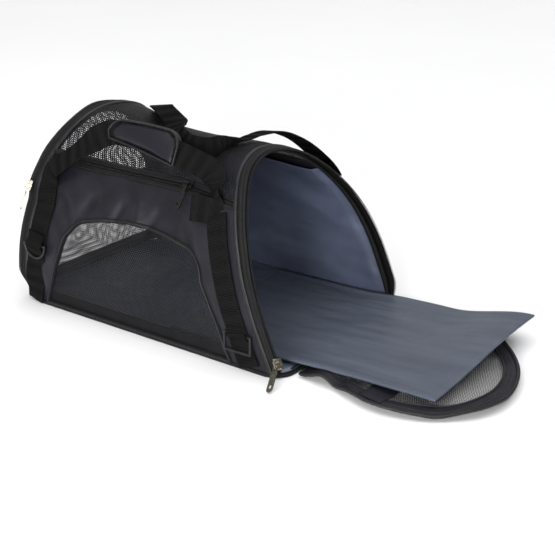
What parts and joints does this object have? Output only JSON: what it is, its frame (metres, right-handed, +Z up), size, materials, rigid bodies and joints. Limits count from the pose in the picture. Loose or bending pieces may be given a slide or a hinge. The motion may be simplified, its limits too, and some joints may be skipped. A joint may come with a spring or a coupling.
{
  "type": "pet carrier bag",
  "caption": "Soft-sided arched pet carrier bag with netting window and top, zipped doors at both ends, slide-out mat and carry handles.",
  "frame": {"origin": "on the ground, at the middle of the base's underside", "axes": "+X towards the open front end, +Y away from the side with the window, +Z up"},
  "size_m": [0.7207, 0.325, 0.2679],
  "materials": {
    "spring_steel": "satin",
    "zip_metal": "bright nickel",
    "ring_plastic": "satin black",
    "board": "stiff board",
    "coated_lining": "coated, slightly glossy slate grey",
    "mat_cloth": "coated slate grey cloth",
    "netting": "black netting",
    "zip_coil": "black nylon coil",
    "webbing": "ribbed black webbing",
    "wrap_cloth": "black padded cloth",
    "binding": "black binding tape",
    "polyester": "satin blue-black polyester"
  },
  "bodies": {
    "bag": {"base_panel": "polyester", "base_board": "board", "base_lining": "coated_lining", "front_sill": "binding", "rear_sill": "binding", "near_side_panel": "polyester", "near_side_lining": "coated_lining", "far_side_panel": "polyester", "far_side_lining": "coated_lining", "near_window_net": "netting", "near_window_piping": "binding", "top_net": "netting", "far_top_seam": "binding", "side_zip_lower_tape": "binding", "side_zip_coil": "zip_coil", "side_zip_upper_tape": "binding", "front_zip_body_coil": "zip_coil", "front_zip_body_tape": "binding", "front_arch_piping": "binding", "front_hoop_wire": "spring_steel", "front_hoop_sleeve": "binding", "rear_zip_body_coil": "zip_coil", "rear_zip_body_tape": "binding", "rear_arch_piping": "binding", "rear_hoop_wire": "spring_steel", "rear_hoop_sleeve": "binding", "near_front_strap": "webbing", "near_rear_strap": "webbing", "far_front_strap": "webbing", "far_rear_strap": "webbing", "front_ring_loop": "webbing", "rear_ring_loop": "webbing"},
    "front_door": {"front_door_border": "polyester", "front_door_zip_tape": "binding", "front_door_net": "netting", "front_door_cross_band": "webbing", "front_door_hinge_tape": "binding"},
    "rear_door": {"rear_door_border": "polyester", "rear_door_zip_tape": "binding", "rear_door_net": "netting", "rear_door_cross_band": "webbing", "rear_door_hinge_tape": "binding"},
    "mat": {"mat_cover": "mat_cloth", "mat_board": "board"},
    "near_handle": {"near_handle": "webbing", "handle_wrap": "wrap_cloth"},
    "far_handle": {"far_handle": "webbing"},
    "front_ring": {"front_ring": "ring_plastic"},
    "rear_ring": {"rear_ring": "ring_plastic"},
    "front_zip_slider": {"front_zip_slider": "zip_metal"},
    "front_zip_pull": {"front_zip_pull": "zip_metal"},
    "side_zip_slider": {"side_zip_slider": "zip_metal"},
    "side_zip_pull": {"side_zip_pull": "zip_metal"},
    "rear_zip_slider": {"rear_zip_slider": "zip_metal"},
    "rear_zip_pull": {"rear_zip_pull": "zip_metal"}
  },
  "joints": [
    {"name": "front_door_hinge", "type": "hinge", "parent": "bag", "child": "front_door", "pos_m": [0.228, 0, 0.0005], "axis": [0, 1, 0], "range_deg": [-110, 0], "deforming": ["mat_cover", "mat_board"]},
    {"name": "rear_door_hinge", "type": "hinge", "parent": "bag", "child": "rear_door", "pos_m": [-0.228, 0, 0.0005], "axis": [0, 1, 0], "range_deg": [-98, 0]},
    {"name": "mat_slide", "type": "slide", "parent": "bag", "child": "mat", "axis": [1, 0, 0], "range_m": [-0.21, 0]},
    {"name": "near_handle_swing", "type": "hinge", "parent": "bag", "child": "near_handle", "pos_m": [0, -0.1135, 0.184], "axis": [1, 0, 0], "range_deg": [0, 150]},
    {"name": "far_handle_swing", "type": "hinge", "parent": "bag", "child": "far_handle", "pos_m": [0, 0.1135, 0.184], "axis": [1, 0, 0], "range_deg": [-150, 0]},
    {"name": "front_ring_swing", "type": "hinge", "parent": "bag", "child": "front_ring", "pos_m": [0.16394, -0.14955, 0.047], "axis": [1, 0, 0], "range_deg": [-150, 0]},
    {"name": "rear_ring_swing", "type": "hinge", "parent": "bag", "child": "rear_ring", "pos_m": [-0.18061, -0.14955, 0.088], "axis": [1, 0, 0], "range_deg": [-150, 0]},
    {"name": "front_zip_travel", "type": "slide", "parent": "bag", "child": "front_zip_slider", "axis": [-0.342, 0, 0.9397], "range_m": [0, 0.04]},
    {"name": "front_pull_swing", "type": "hinge", "parent": "front_zip_slider", "child": "front_zip_pull", "pos_m": [0.222, -0.1502, 0.024], "axis": [0.9397, 0, 0.342], "range_deg": [-110, 0]},
    {"name": "side_zip_travel", "type": "slide", "parent": "bag", "child": "side_zip_slider", "axis": [1, 0, 0], "range_m": [-0.15, 0]},
    {"name": "side_pull_swing", "type": "hinge", "parent": "side_zip_slider", "child": "side_zip_pull", "pos_m": [0.052, -0.09977, 0.20275], "axis": [1, 0, 0], "range_deg": [-50, 0]},
    {"name": "rear_zip_travel", "type": "hinge", "parent": "rear_door", "child": "rear_zip_slider", "pos_m": [-0.22114, 0.07393, 0.06], "axis": [0.9893, 0, -0.1461], "range_deg": [-14, 12]},
    {"name": "rear_pull_swing", "type": "hinge", "parent": "rear_zip_slider", "child": "rear_zip_pull", "pos_m": [-0.21027, -0.12467, 0.16179], "axis": [-0.7382, 0.6556, -0.1587], "range_deg": [0, 140]}
  ],
  "couplings": [
    {"joint": "mat_slide", "follows": "front_door_hinge", "m_per_rad": 0.109}
  ]
}
